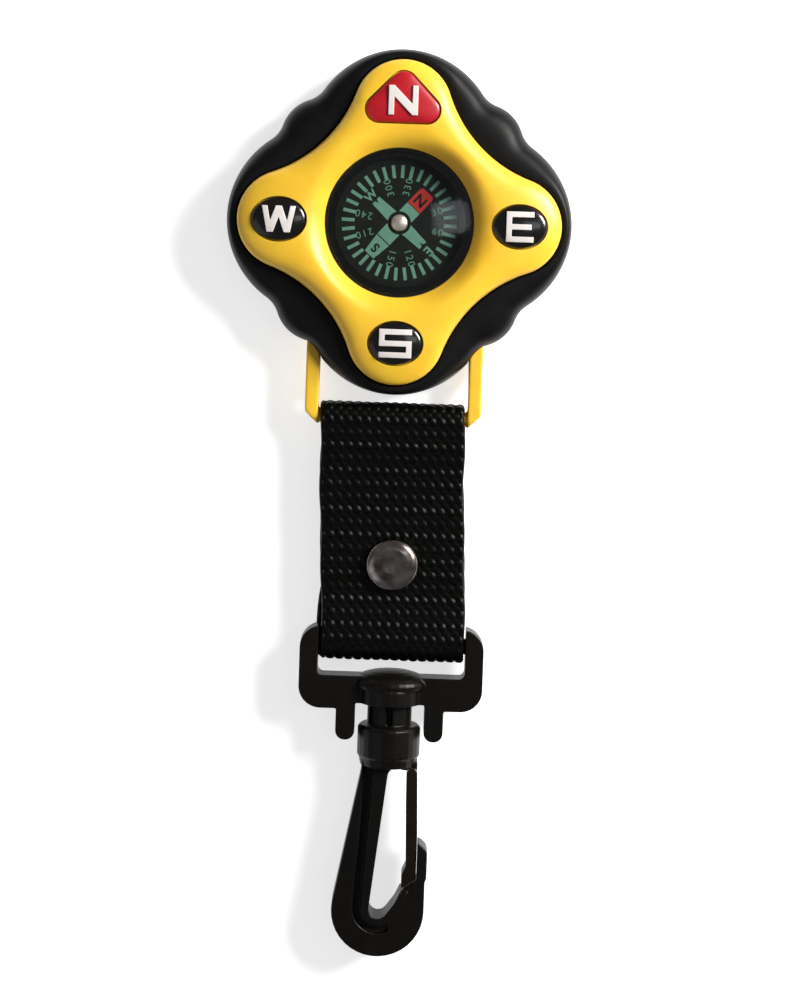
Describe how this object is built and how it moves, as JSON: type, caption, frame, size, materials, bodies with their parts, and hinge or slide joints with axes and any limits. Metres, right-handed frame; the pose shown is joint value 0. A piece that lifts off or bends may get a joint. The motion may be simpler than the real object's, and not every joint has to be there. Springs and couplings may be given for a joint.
{
  "type": "clip-on compass",
  "caption": "Liquid-filled button compass in a lobed case with rubber grip, hung by a folded web strap from a plastic swivel snap hook.",
  "frame": {"origin": "on the compass axis, at the flat back face of the case", "axes": "+Z out of the dial towards the reader, +Y from the hook end towards the north badge, +X towards the east badge"},
  "size_m": [0.0596, 0.1584, 0.0143],
  "materials": {
    "yellow_plastic": "smooth moulded yellow plastic",
    "black_rubber": "satin black rubber",
    "gloss_black": "glossy black",
    "red_plastic": "smooth red",
    "white_ink": "white letters",
    "clear_lens": "clear, polished",
    "steel": "bright steel",
    "chrome": "polished plated metal",
    "magnet": "dull sintered magnet",
    "black_web": "woven black webbing",
    "black_plastic": "satin black acetal"
  },
  "bodies": {
    "case": {"back_cover": "yellow_plastic", "bumper_grip": "black_rubber", "front_bezel": "yellow_plastic", "body_screw_north": "steel", "body_screw_east": "steel", "body_screw_south": "steel", "body_screw_west": "steel", "badge_north": "red_plastic", "badge_east": "gloss_black", "badge_south": "gloss_black", "badge_west": "gloss_black", "letter_n": "white_ink", "letter_e": "white_ink", "letter_s": "white_ink", "letter_w": "white_ink", "capsule_base": "gloss_black", "capsule_dome": "clear_lens", "pivot_needle": "steel"},
    "dial": {"dial_card": "gloss_black", "card_magnet": "magnet", "jewel_cup": "steel"},
    "strap": {"webbing_strap": "black_web", "rivet_cap": "chrome", "rivet_post": "chrome"},
    "frame": {"swivel_frame": "black_plastic"},
    "hook": {"hook_body": "black_plastic"},
    "gate": {"gate_tongue": "black_plastic"}
  },
  "joints": [
    {"name": "dial_spin", "type": "hinge", "parent": "case", "child": "dial", "pos_m": [0, 0, 0.0078], "axis": [0, 0, 1], "continuous": true},
    {"name": "strap_swing", "type": "hinge", "parent": "case", "child": "strap", "pos_m": [0, -0.0337, 0.0057], "axis": [1, 0, 0], "range_deg": [-90, 90]},
    {"name": "frame_swing", "type": "hinge", "parent": "strap", "child": "frame", "pos_m": [0.0012, -0.07355, 0.0057], "axis": [1, 0, 0], "range_deg": [-90, 90]},
    {"name": "hook_swivel", "type": "hinge", "parent": "frame", "child": "hook", "pos_m": [0.0012, -0.0895, 0.0057], "axis": [0, 1, 0], "continuous": true},
    {"name": "gate_flex", "type": "hinge", "parent": "hook", "child": "gate", "pos_m": [0.0055, -0.0961, 0.0057], "axis": [0, 0, 1], "range_deg": [-10, 0], "stiffness_Nm_per_rad": 0.02}
  ]
}
